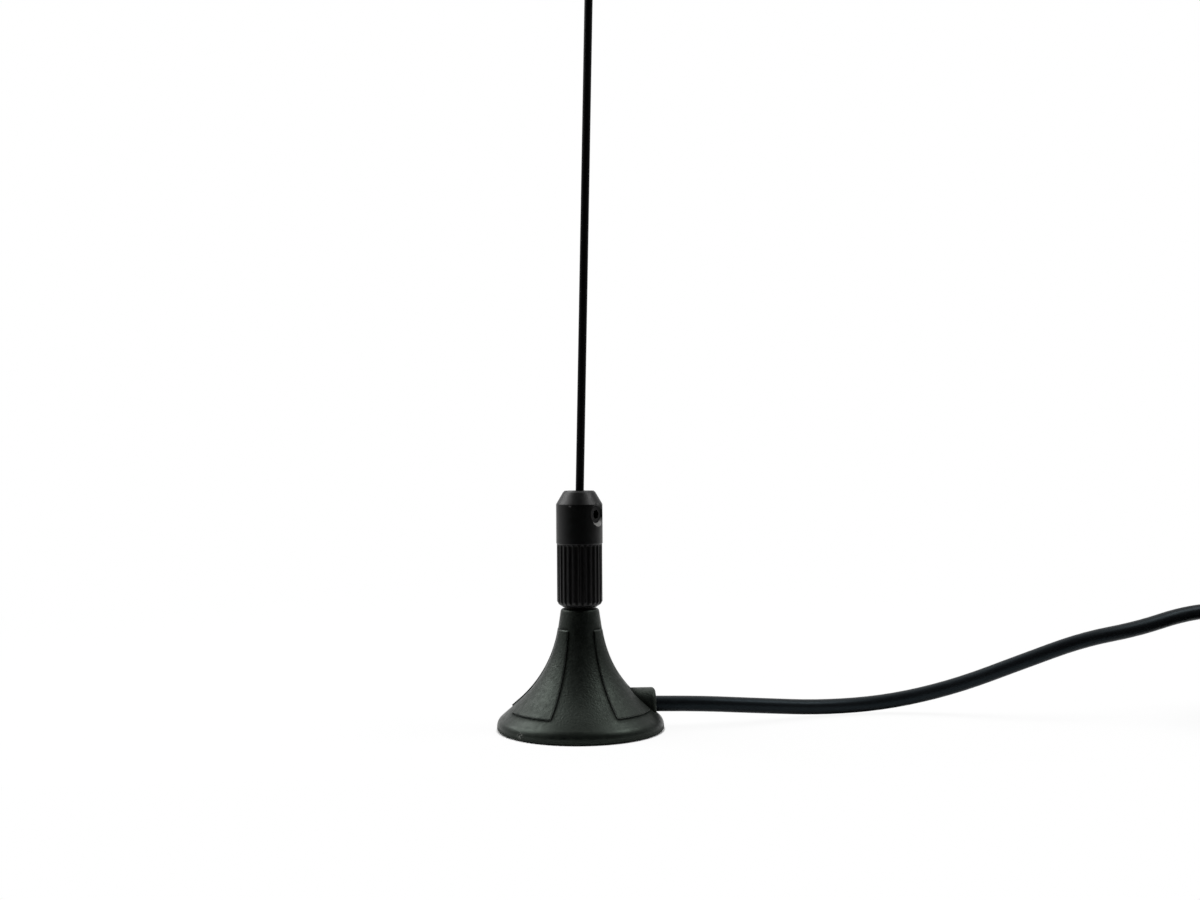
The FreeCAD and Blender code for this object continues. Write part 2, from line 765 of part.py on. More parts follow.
def plug_body():
    """Turned body: hollow stem inside the ferrule, flange, ring groove and contact tube."""
    return turned_outline([
        (stem_bore_r, JACKET_IN_PLUG),
        (cable_r, JACKET_IN_PLUG),
        (cable_r, ferrule_end),
        (BODY_FLANGE_D / 2, ferrule_end),
        (BODY_FLANGE_D / 2, flange_end),
        (tube_r, flange_end),
        (tube_r, RING_START),
        (groove_r, RING_START),
        (groove_r, RING_START + RING_W),
        (tube_r, RING_START + RING_W),
        (tube_r, BODY_FRONT),
        (tube_bore_r, BODY_FRONT),
        (tube_bore_r, flange_end),
        (stem_bore_r, flange_end),
    ])


def plug_snap_ring():
    """Split ring that sits half in the body and half in the nut."""
    low = RING_START + RING_FIT
    high = RING_START + RING_W - RING_FIT
    outer_r = tube_r + RING_RISE - RING_FIT
    ring = disc(outer_r, low, high).cut(disc(groove_r + RING_FIT, low, high))
    slit = Part.makeBox(outer_r, RING_W, RING_W, Vector(0, -RING_W / 2, RING_START))
    return ring.cut(slit)


def plug_nut():
    """Coupling nut: hexagon with a round back, bevelled corners and a threaded bore."""
    corner_r = NUT_AF / math.sqrt(3)
    flat_r = NUT_AF / 2
    bevel = turned_outline([
        (0, NUT_START),
        (NUT_ROUND_D / 2, NUT_START),
        (NUT_ROUND_D / 2, NUT_START + NUT_ROUND_L),
        (flat_r, NUT_START + NUT_ROUND_L),
        (corner_r, NUT_START + NUT_ROUND_L + NUT_CHAMFER),
        (corner_r, nut_end - NUT_CHAMFER),
        (flat_r, nut_end),
        (0, nut_end),
    ])
    blank = hex_bar(NUT_AF, NUT_START, nut_end).common(bevel)
    hole = disc(tube_r + BODY_NECK_FIT, NUT_START, nut_floor)
    groove = disc(tube_r + RING_RISE, RING_START, RING_START + RING_W)
    thread = disc(NUT_THREAD_D / 2, nut_floor, nut_end)
    return blank.cut([hole, groove, thread])


def plug_gasket():
    high = nut_floor + GASKET_T
    blank = disc(NUT_THREAD_D / 2 - RING_FIT, nut_floor, high)
    return blank.cut(disc(tube_r, nut_floor, high))


def plug_insulator():
    front = BODY_FRONT - INSULATOR_SETBACK
    return disc(tube_bore_r, flange_end, front).cut(disc(PIN_D / 2, flange_end, front))


def plug_pin():
    """Centre contact with a tapered tip."""
    return turned_outline([
        (0, flange_end),
        (PIN_D / 2, flange_end),
        (PIN_D / 2, PIN_END - PIN_TIP_L),
        (PIN_TIP_D / 2, PIN_END),
        (0, PIN_END),
    ])


def plug_core():
    """Dielectric of the cable's far end, stripped back inside the plug."""
    return disc(CORE_D / 2, JACKET_IN_PLUG, flange_end)


def checked_tube(name, points):
    """A stretch of cable, with its radii and volume printed for comparison."""
    solid, path, radii = tube(points, cable_r)
    print(name, "radii", [round(radius, 1) for radius in radii])
    expected = math.pi * cable_r ** 2 * path.Length
    print(name, "length", round(path.Length, 1))
    print(name, "volume", round(solid.Volume, 1), "of", round(expected, 1))
    return solid


def build():
    """Every piece by the name of its node."""
    coil = cable_coil()
    wire = centre_wire()
    braid = braid_tail()
    return {
        "base_housing": base_housing(),
        "threaded_stud": threaded_stud(),
        "whip_collar": whip_collar(),
        "grub_screw": grub_screw(),
        "whip_rod": whip_rod(),
        "magnet": magnet(),
        "yoke_plate": yoke_plate(),
        "foot_pad": foot_pad(),
        "cable_clamp": cable_clamp(),
        "cable_core": cable_core(),
        "centre_wire": wire,
        "braid_tail": braid,
        "solder_joints": solder_joints(wire, braid),
        "cable_lead": checked_tube("cable_lead", LEAD_ROUTE).cut(coil),
        "cable_coil": coil,
        "coil_ties": coil_ties(),
        "cable_tail": checked_tube("cable_tail", TAIL_ROUTE).cut(coil),
        "plug_boot": on_plug(plug_boot()),
        "plug_ferrule": on_plug(plug_ferrule()),
        "plug_body": on_plug(plug_body()),
        "plug_snap_ring": on_plug(plug_snap_ring()),
        "plug_nut": on_plug(plug_nut()),
        "plug_gasket": on_plug(plug_gasket()),
        "plug_insulator": on_plug(plug_insulator()),
        "plug_pin": on_plug(plug_pin()),
        "plug_core": on_plug(plug_core()),
    }


os.makedirs("parts", exist_ok=True)
for node, shape in build().items():
    shape.exportStep(os.path.join("parts", node + ".step"))
    print(node, "solids", len(shape.Solids), "valid", shape.isValid(), "volume", round(shape.Volume, 2))
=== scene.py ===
# %% [markdown]
# # A small magnetic-foot whip antenna
# The object is a VHF antenna for a car roof: a flared black foot with a magnet inside, a fluted
# collar that clamps a thin rod, and a thin coax cable that runs off to its plug. The solids come
# from the CAD model and stay where they are. Blender adds the camera, the light, the cable as one
# smooth line and the finish of every surface.

# %% Load the solids
import math

import bmesh
import bpy
from mathutils import Matrix, Vector


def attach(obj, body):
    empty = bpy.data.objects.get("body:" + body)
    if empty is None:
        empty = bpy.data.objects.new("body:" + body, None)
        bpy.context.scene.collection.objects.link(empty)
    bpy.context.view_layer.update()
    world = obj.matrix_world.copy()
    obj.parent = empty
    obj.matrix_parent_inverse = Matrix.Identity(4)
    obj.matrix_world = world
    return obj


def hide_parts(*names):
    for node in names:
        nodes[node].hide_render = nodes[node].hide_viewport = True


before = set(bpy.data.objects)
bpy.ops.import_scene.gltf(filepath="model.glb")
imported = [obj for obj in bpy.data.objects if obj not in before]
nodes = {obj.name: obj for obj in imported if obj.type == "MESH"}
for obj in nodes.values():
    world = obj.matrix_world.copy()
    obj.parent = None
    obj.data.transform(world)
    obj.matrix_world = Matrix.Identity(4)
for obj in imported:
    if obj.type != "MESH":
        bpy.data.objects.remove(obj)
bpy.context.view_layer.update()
print("loaded", len(nodes), "solids")

# %% [markdown]
# ## The camera
# The picture looks level at the foot from about a quarter of a metre, a little from its left, with
# the horizon half way up. A camera could be placed by eye, but the foot's ellipse and the rod's
# lean pin it down, so its place is given in numbers: the focal length in pixels of a picture that
# is 1200 pixels wide, then height, distance, turn and a slight roll.

# %% Camera
MM = 0.001
PICTURE_WIDTH = 1200
FOCAL_PIXELS = 1389.0
SENSOR_WIDTH = 36.0
EYE_DISTANCE = 250.0
EYE_SIDE = 3.8
EYE_HEIGHT = 50.1
EYE_TURN = math.radians(4.0)
EYE_ROLL = math.radians(0.37)

lens = bpy.data.cameras.new("camera")
lens.sensor_width = SENSOR_WIDTH
lens.lens = FOCAL_PIXELS / PICTURE_WIDTH * SENSOR_WIDTH
lens.clip_start = 0.01
camera = bpy.data.objects.new("camera", lens)
bpy.context.collection.objects.link(camera)
turn = Matrix.Rotation(-EYE_TURN, 4, "Z")
eye = turn @ Vector((EYE_SIDE, -EYE_DISTANCE, EYE_HEIGHT))
upright = Matrix.Rotation(math.radians(90), 4, "X")
roll = Matrix.Rotation(-EYE_ROLL, 4, "Z")
camera.matrix_world = Matrix.Translation(eye * MM) @ turn @ upright @ roll
bpy.context.scene.camera = camera
print("camera at", [round(value, 4) for value in camera.matrix_world.translation])

# %% [markdown]
# ## The cable
# Thin coax is springy: it leaves the foot straight, dips to the table and rises to the coil that
# holds its spare length. A swept mesh would do, but one NURBS curve with a round bevel is smooth
# all along and takes few points. The route's points are those of the solids, in millimetres, and
# the coil's turns are more points of the same curve.

# %% Route from the foot to the coil
CABLE_RADIUS = 1.4
COIL_MIDDLE = (139.1, -10.6)
COIL_RADII = (19.7, 16.9, 14.1, 11.3)
COIL_LOWEST = 2.3
COIL_LEVELS = 6
TURN_STEPS = 16
SHIFT_STEPS = 4
ENTRY_ANGLE = 103.8
EXIT_ANGLE = 90.0

lead_route = [
    (4.2, 0.0, 4.3),
    (18.4, 0.0, 4.3),
    (33.0, 3.2, 2.9),
    (46.0, 8.0, 1.4),
    (59.0, 9.4, 1.9),
    (71.0, 6.6, 5.1),
    (82.5, 2.4, 10.3),
    (93.0, 0.2, 14.5),
    (103.9, 1.0, 16.2),
    (113.9, 3.5, 18.6),
    (123.5, 5.9, 19.1),
]
tail_route = [
    (150.3, 9.1, 2.3),
    (158.8, 9.1, 2.3),
    (166.3, 4.8, 3.1),
    (171.0, -3.4, 4.0),
    (171.0, -12.7, 4.0),
]
print("route points", len(lead_route), "to the coil and", len(tail_route), "after it")

# %% [markdown]
# ## The coil
# Over two metres of cable would cross the whole room, so the spare length is wound up: one turn on
# top, then six layers of four, in and out by turns. Each turn keeps its place for three quarters
# of the way round and then slides over to the next place, as a hand-wound coil does. The points
# stand a little outside the wanted radius, because a quadratic curve runs inside its points.

# %% Turns of the coil


def turn_places():
    """Radius and height of each turn, from the top one down."""
    level_height = 2 * CABLE_RADIUS
    places = [(COIL_RADII[0], COIL_LOWEST + COIL_LEVELS * level_height)]
    for level in reversed(range(COIL_LEVELS)):
        inwards = (COIL_LEVELS - level) % 2 == 1
        for radius in COIL_RADII if inwards else reversed(COIL_RADII):
            places.append((radius, COIL_LOWEST + level * level_height))
    return places


def coil_point(angle, radius, height):
    """A point on the coil, pushed out so that the curve itself runs at the radius."""
    reach = radius / math.cos(math.pi / TURN_STEPS)
    across = math.radians(angle)
    return (COIL_MIDDLE[0] + reach * math.cos(across), COIL_MIDDLE[1] + reach * math.sin(across), height)


def coil_route():
    """Points of all turns, clockwise from above."""
    points = []
    places = turn_places()
    step_angle = 360.0 / TURN_STEPS
    for index, (radius, height) in enumerate(places):
        following = places[min(index + 1, len(places) - 1)]
        for step in range(TURN_STEPS):
            share = max(0.0, (step - TURN_STEPS + SHIFT_STEPS) / SHIFT_STEPS)
            points.append(coil_point(
                ENTRY_ANGLE - step * step_angle,
                radius + share * (following[0] - radius),
                height + share * (following[1] - height)))
    points.append(coil_point(ENTRY_ANGLE, *places[-1]))
    points.append(coil_point(EXIT_ANGLE, *places[-1]))
    return points


cable_route = lead_route + coil_route() + tail_route
print("turns", len(turn_places()), "points in all", len(cable_route))

# %% [markdown]
# ## One line for the whole cable
# The curve's thickness is the bevel's depth times the radius at each point. Blender also takes that
# radius as the reach of a point when it measures a curve's box, so the points hold the cable's true
# radius and the depth is 1.

# %% One curve for the whole cable
line = bpy.data.curves.new("cable", "CURVE")
line.dimensions = "3D"
spline = line.splines.new("NURBS")
spline.points.add(len(cable_route) - 1)
for point, place in zip(spline.points, cable_route):
    point.co = (*(Vector(place) * MM), 1.0)
    point.radius = CABLE_RADIUS * MM
spline.order_u = 3
spline.use_endpoint_u = True
line.resolution_u = 5
line.bevel_depth = 1.0
line.bevel_resolution = 5
line.use_fill_caps = True
cable = bpy.data.objects.new("cable", line)
bpy.context.collection.objects.link(cable)
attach(cable, "root")
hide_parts("cable_lead", "cable_coil", "cable_tail")
print("cable through", len(spline.points), "points,", 2 * CABLE_RADIUS, "mm thick")

# %% [markdown]
# ## Ties round the coil
# Two bands of hook-and-loop tape hold the coil. A solid ring would look like plastic, so each band
# is a ribbon that runs round the stack of turns, with soft corners, and its free end lies over its
# own start on the outside. The ribbon is laid out as a line round the stack and given width and
# thickness in mesh code.

# %% Line of a band round the stack
TIE_CORNER = 1.6
CORNER_STEPS = 5
stack_inner = COIL_RADII[-1] - CABLE_RADIUS
stack_outer = COIL_RADII[0] + CABLE_RADIUS
stack_floor = COIL_LOWEST - CABLE_RADIUS
stack_step = stack_floor + 2 * CABLE_RADIUS * COIL_LEVELS
stack_top = stack_step + 2 * CABLE_RADIUS
stack_shelf = COIL_RADII[0] - CABLE_RADIUS


def rounded_loop(corners, radius):
    """Corners of a convex loop, each swapped for a short run of points on an arc-like bend."""
    loop = []
    for index, corner in enumerate(corners):
        here = Vector(corner)
        back = (Vector(corners[index - 1]) - here).normalized() * radius
        ahead = (Vector(corners[(index + 1) % len(corners)]) - here).normalized() * radius
        for step in range(CORNER_STEPS + 1):
            share = step / CORNER_STEPS
            loop.append(here + back * (1 - share) ** 2 + ahead * share ** 2)
    return loop


outline = rounded_loop([
    (stack_inner, stack_floor), (stack_inner, stack_step), (stack_shelf, stack_top),
    (stack_outer, stack_top), (stack_outer, stack_floor)], TIE_CORNER)
print("points round a band", len(outline))

# %% Path of the ribbon
TIE_LAP = 9.0
LAP_STEPS = 6
LAP_FIRST_LIFT = 0.4
LAP_LIFT_RATE = 2
HEIGHT_BIAS = 0.01


def ribbon_path():
    """Places, outward directions and lifts along the band, which laps over its start on the outside."""
    start = max(range(len(outline)), key=lambda index: outline[index].x + HEIGHT_BIAS * outline[index].y)
    ring = outline[start:] + outline[:start]
    middle = sum(ring, Vector((0, 0))) / len(ring)
    path = [(place, (place - middle).normalized(), 0.0) for place in ring]
    first = ring[0]
    for step in range(LAP_STEPS + 1):
        share = step / LAP_STEPS
        place = Vector((first.x, first.y - share * TIE_LAP))
        path.append((place, Vector((1, 0)), min(1.0, LAP_FIRST_LIFT + share * LAP_LIFT_RATE)))
    return path


print("points along a band", len(ribbon_path()))

# %% Ribbon mesh
TIE_ANGLES = (-10.0, 170.0)
TIE_WIDTH = 5.0
TIE_THICKNESS = 0.6
TIE_EDGE_SHARE = 0.55
ACROSS_SHARES = (-0.5, -0.44, 0.0, 0.44, 0.5)


def band_rows(mesh):
    """Rings of vertices along the band: inner side one way, outer side back, thinner at the edges."""
    rows = []
    for place, outward, raised in ribbon_path():
        lift = TIE_THICKNESS * raised
        row = []
        for depth in (0.0, 1.0):
            for share in ACROSS_SHARES if depth == 0.0 else reversed(ACROSS_SHARES):
                thick = TIE_THICKNESS * depth * (TIE_EDGE_SHARE if abs(share) == 0.5 else 1.0)
                radial = place + outward * (lift + thick)
                row.append(mesh.verts.new((radial.x, share * TIE_WIDTH, radial.y)))
        rows.append(row)
    return rows


def band(name, angle):
    """One tape band at an angle round the coil, as a closed ribbon mesh."""
    mesh = bmesh.new()
    rows = band_rows(mesh)
    for first, second in zip(rows, rows[1:]):
        count = len(first)
        for index in range(count):
            after = (index + 1) % count
            mesh.faces.new((first[index], second[index], second[after], first[after]))
    mesh.faces.new(list(reversed(rows[0])))
    mesh.faces.new(rows[-1])
    bmesh.ops.recalc_face_normals(mesh, faces=mesh.faces)
    place = Matrix.Translation((*COIL_MIDDLE, 0)) @ Matrix.Rotation(math.radians(angle), 4, "Z")
    mesh.transform(Matrix.Scale(MM, 4) @ place)
    data = bpy.data.meshes.new(name)
    mesh.to_mesh(data)
    mesh.free()
    for polygon in data.polygons:
        polygon.use_smooth = True
    piece = bpy.data.objects.new(name, data)
    bpy.context.collection.objects.link(piece)
    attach(piece, "root")
    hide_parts("coil_ties")
    return piece


bands = [band("coil_band_%d" % (index + 1), angle) for index, angle in enumerate(TIE_ANGLES)]
print("bands", [len(piece.data.polygons) for piece in bands])

# %% [markdown]
# ## The loose cable
# On the real object the cable is loose and can be laid anew.

# %% [markdown]
# ## The white backdrop
# The picture was taken before a white backdrop: pale behind, above and at the sides, and dark
# towards the camera, so the fronts of the black parts stay black and their flanks shine. A ramp from
# front to back in the world gives that in one place. The backdrop itself is plain white, both where
# the camera sees it and where a glossy or clear surface shows it.

# %% Ramp from front to back
TENT_TONES = ((0.0, 0.003), (0.1, 0.008), (0.22, 0.03), (0.36, 0.1), (0.5, 0.26), (0.75, 0.5), (1.0, 0.5))

world = bpy.data.worlds.new("tent")
bpy.context.scene.world = world
world.use_nodes = True
sky = world.node_tree
background = sky.nodes["Background"]
background.inputs["Color"].default_value = (1, 1, 1, 1)
direction = sky.nodes.new("ShaderNodeTexCoord")
parts = sky.nodes.new("ShaderNodeSeparateXYZ")
sky.links.new(direction.outputs["Generated"], parts.inputs["Vector"])
depth = sky.nodes.new("ShaderNodeMapRange")
depth.inputs["From Min"].default_value = -1.0
depth.inputs["From Max"].default_value = 1.0
sky.links.new(parts.outputs["Y"], depth.inputs["Value"])
ramp = sky.nodes.new("ShaderNodeValToRGB")
stops = ramp.color_ramp.elements
while len(stops) < len(TENT_TONES):
    stops.new(0.5)
for stop, (place, tone) in zip(stops, TENT_TONES):
    stop.position = place
    stop.color = (tone, tone, tone, 1)
sky.links.new(depth.outputs["Result"], ramp.inputs["Fac"])
print("tones of the tent", [tone for place, tone in TENT_TONES])

# %% White where the backdrop is seen
BACKDROP_START = 0.8


def math_node(tree, operation, first, second):
    """One step of arithmetic between two sockets."""
    node = tree.nodes.new("ShaderNodeMath")
    node.operation = operation
    tree.links.new(first, node.inputs[0])
    tree.links.new(second, node.inputs[1])
    return node.outputs["Value"]


behind = sky.nodes.new("ShaderNodeMapRange")
behind.interpolation_type = "SMOOTHSTEP"
behind.inputs["From Min"].default_value = BACKDROP_START
sky.links.new(depth.outputs["Result"], behind.inputs["Value"])
path = sky.nodes.new("ShaderNodeLightPath")
mirrored = math_node(sky, "MAXIMUM", path.outputs["Is Glossy Ray"], path.outputs["Is Transmission Ray"])
mirrored = math_node(sky, "MULTIPLY", mirrored, behind.outputs["Result"])
seen = sky.nodes.new("ShaderNodeMix")
seen.data_type = "FLOAT"
sky.links.new(math_node(sky, "MAXIMUM", path.outputs["Is Camera Ray"], mirrored), seen.inputs["Factor"])
sky.links.new(ramp.outputs["Color"], seen.inputs["A"])
seen.inputs["B"].default_value = 1.0
sky.links.new(seen.outputs["Result"], background.inputs["Strength"])
print("world nodes", len(sky.nodes))

# %% [markdown]
# ## Floor
# The object stands on a sheet of white paper that ends shortly before it, so that its front mirrors
# the dark room and not the paper. The paper is matt and takes the shadow. Further out it glows, so
# that it melts into the white backdrop, for the camera and in reflections alike. Beside the object
# the camera sees some of that glow too, and reflections see the paper as it is lit. Under the
# rounded edge of the foot nothing glows, so the contact shadow stays dark.

# %% Sheet of paper
FLOOR_CORNERS = ((-0.26, -0.035), (0.4, -0.035), (0.4, 0.34), (-0.26, 0.34))
FLOOR_DROP = 0.00003
FLOOR_WHITE = 0.97

floor_mesh = bpy.data.meshes.new("floor")
floor_mesh.from_pydata([(x, y, -FLOOR_DROP) for x, y in FLOOR_CORNERS], [], [(0, 1, 2, 3)])
floor = bpy.data.objects.new("floor", floor_mesh)
bpy.context.collection.objects.link(floor)
paper = bpy.data.materials.new("white_paper")
paper.use_nodes = True
sheet = paper.node_tree
sheet.nodes.remove(sheet.nodes["Principled BSDF"])
matt = sheet.nodes.new("ShaderNodeBsdfDiffuse")
matt.inputs["Color"].default_value = (FLOOR_WHITE, FLOOR_WHITE, FLOOR_WHITE, 1)
floor_mesh.materials.append(paper)
print("floor from", FLOOR_CORNERS[0], "to", FLOOR_CORNERS[2])

# %% Glow of the paper
GLOW_BESIDE = 0.92
GLOW_MIDDLE = (0.07, 0.0, 0.0)
GLOW_START = 0.1
GLOW_END = 0.3
FOOT_MIDDLE = (0.0, 0.0, 0.0)
FOOT_RADIUS = 0.015
CONTACT_END = 0.0153

ray = sheet.nodes.new("ShaderNodeLightPath")
glow = sheet.nodes.new("ShaderNodeEmission")
glow.inputs["Strength"].default_value = 1.0
where = sheet.nodes.new("ShaderNodeTexCoord")


def glow_share(middle, start, end, beside):
    """A share that rises with the distance from a middle, from a value beside it to 1 further out."""
    away = sheet.nodes.new("ShaderNodeVectorMath")
    away.operation = "DISTANCE"
    away.inputs[1].default_value = middle
    sheet.links.new(where.outputs["Object"], away.inputs[0])
    share = sheet.nodes.new("ShaderNodeMapRange")
    share.interpolation_type = "SMOOTHSTEP"
    share.inputs["From Min"].default_value = start
    share.inputs["From Max"].default_value = end
    share.inputs["To Min"].default_value = beside
    sheet.links.new(away.outputs["Value"], share.inputs["Value"])
    return share.outputs["Result"]


mirrored = math_node(sheet, "MAXIMUM", ray.outputs["Is Glossy Ray"], ray.outputs["Is Transmission Ray"])
mirrored = math_node(sheet, "MULTIPLY", mirrored, glow_share(GLOW_MIDDLE, GLOW_START, GLOW_END, 0.0))
direct = glow_share(GLOW_MIDDLE, GLOW_START, GLOW_END, GLOW_BESIDE)
outside = glow_share(FOOT_MIDDLE, FOOT_RADIUS, CONTACT_END, 0.0)
direct = math_node(sheet, "MULTIPLY", direct, outside)
direct = math_node(sheet, "MULTIPLY", ray.outputs["Is Camera Ray"], direct)
mixed = sheet.nodes.new("ShaderNodeMixShader")
sheet.links.new(math_node(sheet, "MAXIMUM", direct, mirrored), mixed.inputs["Fac"])
sheet.links.new(matt.outputs["BSDF"], mixed.inputs[1])
sheet.links.new(glow.outputs["Emission"], mixed.inputs[2])
sheet.links.new(mixed.outputs["Shader"], sheet.nodes["Material Output"].inputs["Surface"])
print("paper nodes", len(sheet.nodes))

# %% [markdown]
# ## Lamps
# The flanks of the foot shine softly, the left one most, and its front hardly at all. Three square
# lamps do that: a large one on the left, a smaller one on the right, both high up so that the
# sloping flare catches more of them than the upright lip, and a wide one above and behind.

# %% Soft lamps
LAMP_AIM = Vector((0.02, 0.0, 0.03))


def softbox(name, place, size, watts):
    """A square lamp that faces the foot and that no camera sees."""
    lamp = bpy.data.lights.new(name, "AREA")
    lamp.size = size
    lamp.energy = watts
    box = bpy.data.objects.new(name, lamp)
    box.location = place
    box.rotation_euler = (LAMP_AIM - Vector(place)).to_track_quat("-Z", "Y").to_euler()
    box.visible_camera = False
    bpy.context.collection.objects.link(box)


softbox("left_lamp", (-0.7, 0.27, 0.72), 0.7, 6.7)
softbox("right_lamp", (0.6, -0.05, 0.8), 0.4, 3.2)
softbox("top_lamp", (0.0, 0.5, 1.1), 1.1, 3.9)
print("lamps", [lamp.name for lamp in bpy.data.lights])

# %% [markdown]
# ## A small kit for finishes
# Every finish here is a Principled shader fed by noise in the part's own coordinates, so nothing
# needs unwrapping and the grain has a true size in millimetres. A few short helpers keep each
# finish readable: noise of a given size, a value stretched between two limits, two colours mixed,
# and a bump of a given depth.

# %% Materials, noise and ranges


def fresh(name):
    """A new material: itself, its node tree and its shader."""
    material = bpy.data.materials.new(name)
    material.use_nodes = True
    tree = material.node_tree
    return material, tree, tree.nodes["Principled BSDF"]


def noise(tree, size, detail=3.0, stretch=(1, 1, 1)):
    """Noise with blotches about size millimetres wide, drawn out along axes with a small stretch."""
    where = tree.nodes.new("ShaderNodeTexCoord")
    scaled = tree.nodes.new("ShaderNodeMapping")
    scaled.inputs["Scale"].default_value = [axis / (size * MM) for axis in stretch]
    cloud = tree.nodes.new("ShaderNodeTexNoise")
    cloud.inputs["Scale"].default_value = 1.0
    cloud.inputs["Detail"].default_value = detail
    tree.links.new(where.outputs["Object"], scaled.inputs["Vector"])
    tree.links.new(scaled.outputs["Vector"], cloud.inputs["Vector"])
    return cloud.outputs["Fac"]


def stretched(tree, value, low, high, start=0.3, end=0.7):
    """The value, taken from start..end to low..high."""
    span = tree.nodes.new("ShaderNodeMapRange")
    span.inputs["From Min"].default_value = start
    span.inputs["From Max"].default_value = end
    span.inputs["To Min"].default_value = low
    span.inputs["To Max"].default_value = high
    tree.links.new(value, span.inputs["Value"])
    return span.outputs["Result"]


# %% Colours and bumps


def mixed_colour(tree, share, first, second):
    """Two colours mixed by a share; the first may be a socket."""
    mix = tree.nodes.new("ShaderNodeMix")
    mix.data_type = "RGBA"
    colour_a, colour_b = [socket for socket in mix.inputs if socket.type == "RGBA"]
    tree.links.new(share, mix.inputs["Factor"])
    if isinstance(first, tuple):
        colour_a.default_value = (*first, 1)
    else:
        tree.links.new(first, colour_a)
    colour_b.default_value = (*second, 1)
    return next(socket for socket in mix.outputs if socket.type == "RGBA")


def bumped(tree, height, depth, normal=None):
    """A normal disturbed by a height, depth millimetres deep."""
    bump = tree.nodes.new("ShaderNodeBump")
    bump.inputs["Strength"].default_value = 1.0
    bump.inputs["Distance"].default_value = depth * MM
    tree.links.new(height, bump.inputs["Height"])
    if normal is not None:
        tree.links.new(normal, bump.inputs["Normal"])
    return bump.outputs["Normal"]


def dress(material, *names):
    """Put one material on CAD solids."""
    for name in names:
        nodes[name].material_slots[0].material = material
    print(material.name, "on", ", ".join(names))


# %% [markdown]
# ## The moulded foot
# The foot is black plastic with the fine, even grain that a spark-eroded mould leaves. It looks
# almost black in front and greyish-green where it leans towards the light. The panels' edges are
# slightly rounded and rubbed, their upper edges carry a painted highlight, and the creases beside
# them are dull and darkened by painted shade. Fillets on every edge would cost many faces, so the
# shader rounds them: the Bevel node bends the normal near an edge, and how far it bends it also
# tells where the edge is, which places the rubbed colour and the painted highlight. Ambient
# occlusion over a short reach tells a crease from an edge.

# %% Rounded edges, ledges and creases
EDGE_SAMPLES = 8
CREASE_SAMPLES = 12


def edges(tree, radius):
    """How close a point is to an edge, from 0 to 1, and the normal with that edge rounded off."""
    soft = tree.nodes.new("ShaderNodeBevel")
    soft.samples = EDGE_SAMPLES
    soft.inputs["Radius"].default_value = radius * MM
    true = tree.nodes.new("ShaderNodeNewGeometry")
    bend = tree.nodes.new("ShaderNodeVectorMath")
    bend.operation = "DOT_PRODUCT"
    tree.links.new(soft.outputs["Normal"], bend.inputs[0])
    tree.links.new(true.outputs["Normal"], bend.inputs[1])
    near = stretched(tree, bend.outputs["Value"], 1.0, 0.0, 0.8, 0.995)
    return near, soft.outputs["Normal"]


def product(tree, first, second):
    """Two shares multiplied, so that both have to hold."""
    return math_node(tree, "MULTIPLY", first, second)


def turned_up(tree, rounded):
    """1 where rounding an edge leans its normal back, as on the upper edge of a step."""
    true = tree.nodes.new("ShaderNodeNewGeometry")
    lean = tree.nodes.new("ShaderNodeVectorMath")
    lean.operation = "SUBTRACT"
    tree.links.new(rounded, lean.inputs[0])
    tree.links.new(true.outputs["Normal"], lean.inputs[1])
    split = tree.nodes.new("ShaderNodeSeparateXYZ")
    tree.links.new(lean.outputs["Vector"], split.inputs["Vector"])
    return stretched(tree, split.outputs["Z"], 0.0, 1.0, 0.05, 0.25)


def creases(tree, reach):
    """1 in the corner beside a step, falling to 0 in the open, by occlusion within a reach."""
    hidden = tree.nodes.new("ShaderNodeAmbientOcclusion")
    hidden.samples = CREASE_SAMPLES
    hidden.only_local = True
    hidden.inputs["Distance"].default_value = reach * MM
    return stretched(tree, hidden.outputs["AO"], 1.0, 0.0, 0.9, 0.99)


# %% [markdown]
# ## Marks and the lip of the foot
# Wear sits at places of its own: a scuff low on the left of the lip, a nick on the collar, bare
# metal in the screw's mouth, shown only where it faces up, as a painted highlight. Painting them
# would need an image, so a distance from a place masks them, broken up by noise. A height does the
# same for the lip, where the grain is rubbed smooth by handling, and for its lowest edge, which is
# dull from standing on roofs.

# %% Masks by place and by height


def spot(tree, place, radius, core=0.0):
    """1 within a core round a place, falling to 0 at the radius, all in millimetres."""
    where = tree.nodes.new("ShaderNodeTexCoord")
    apart = tree.nodes.new("ShaderNodeVectorMath")
    apart.operation = "DISTANCE"
    apart.inputs[1].default_value = Vector(place) * MM
    tree.links.new(where.outputs["Object"], apart.inputs[0])
    return stretched(tree, apart.outputs["Value"], 1.0, 0.0, core * MM, radius * MM)


def below(tree, start, end):
    """0 above a start height, rising to 1 at an end height below it, in millimetres."""
    where = tree.nodes.new("ShaderNodeTexCoord")
    split = tree.nodes.new("ShaderNodeSeparateXYZ")
    tree.links.new(where.outputs["Object"], split.inputs["Vector"])
    return stretched(tree, split.outputs["Z"], 1.0, 0.0, end * MM, start * MM)


# %% Foot plastic: masks
PANEL_EDGE = 0.28
CREASE_REACH = 1.6
LIP_HEIGHTS = (3.8, 2.6)
LOWEST_HEIGHTS = (1.2, 0.5)
SCUFF_PLACE = (-11.0, -10.1, 1.0)
SCUFF_RADIUS = 1.0

